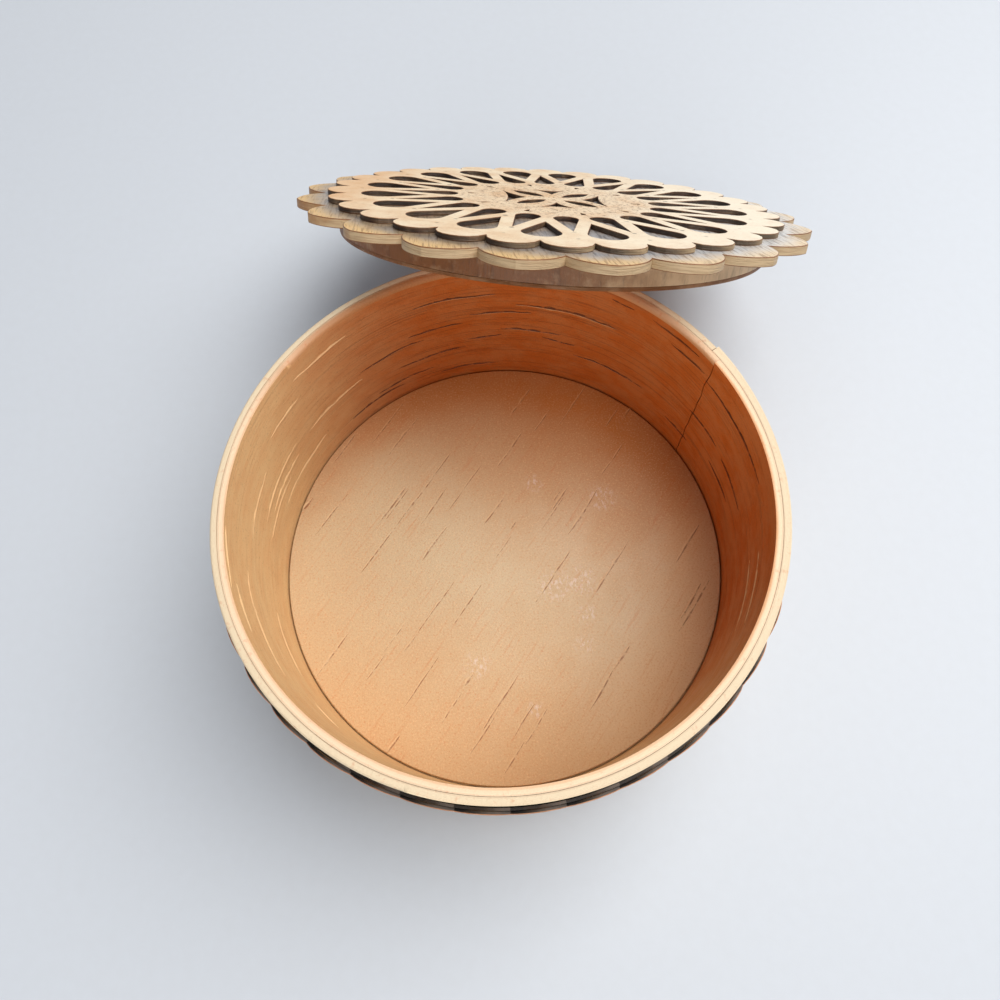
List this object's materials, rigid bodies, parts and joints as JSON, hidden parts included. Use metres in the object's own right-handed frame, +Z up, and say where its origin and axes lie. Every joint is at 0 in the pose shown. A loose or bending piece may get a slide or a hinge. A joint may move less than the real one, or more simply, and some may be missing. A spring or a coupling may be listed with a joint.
{
  "type": "birch bark box",
  "caption": "Round birch bark box with a carved scalloped lid leaning open against the back of its rim, and a carved band round its wall.",
  "frame": {"origin": "centre of the box's flat base, on the surface it stands on", "axes": "+Z up along the box's axis, -Y towards the front, with the lid leaning on the rim at the back"},
  "size_m": [0.126, 0.1687, 0.0714],
  "materials": {
    "lining_bark": "satin bark with dark pores",
    "pale_bark": "sanded bark edge",
    "base_bark": "satin bark",
    "board_wood": "planed wood",
    "floor_bark": "satin bark with dark pores",
    "dark_bark": "stained bark",
    "carved_bark": "matt bark with cut edges",
    "plate_bark": "satin bark"
  },
  "bodies": {
    "box": {"wall_lining": "lining_bark", "wall_wrap": "pale_bark", "base_facing": "base_bark", "floor_board": "board_wood", "floor_lining": "floor_bark", "band_backing": "dark_bark", "carved_band": "carved_bark"},
    "lid": {"lid_plate": "plate_bark", "lid_rosette": "carved_bark", "plug_core": "board_wood", "plug_hoop": "dark_bark", "plug_lining": "floor_bark"}
  },
  "joints": [
    {"name": "lid_lift", "type": "slide", "parent": "box", "child": "lid", "axis": [0, 0, 1], "range_m": [0, 0.06]}
  ]
}
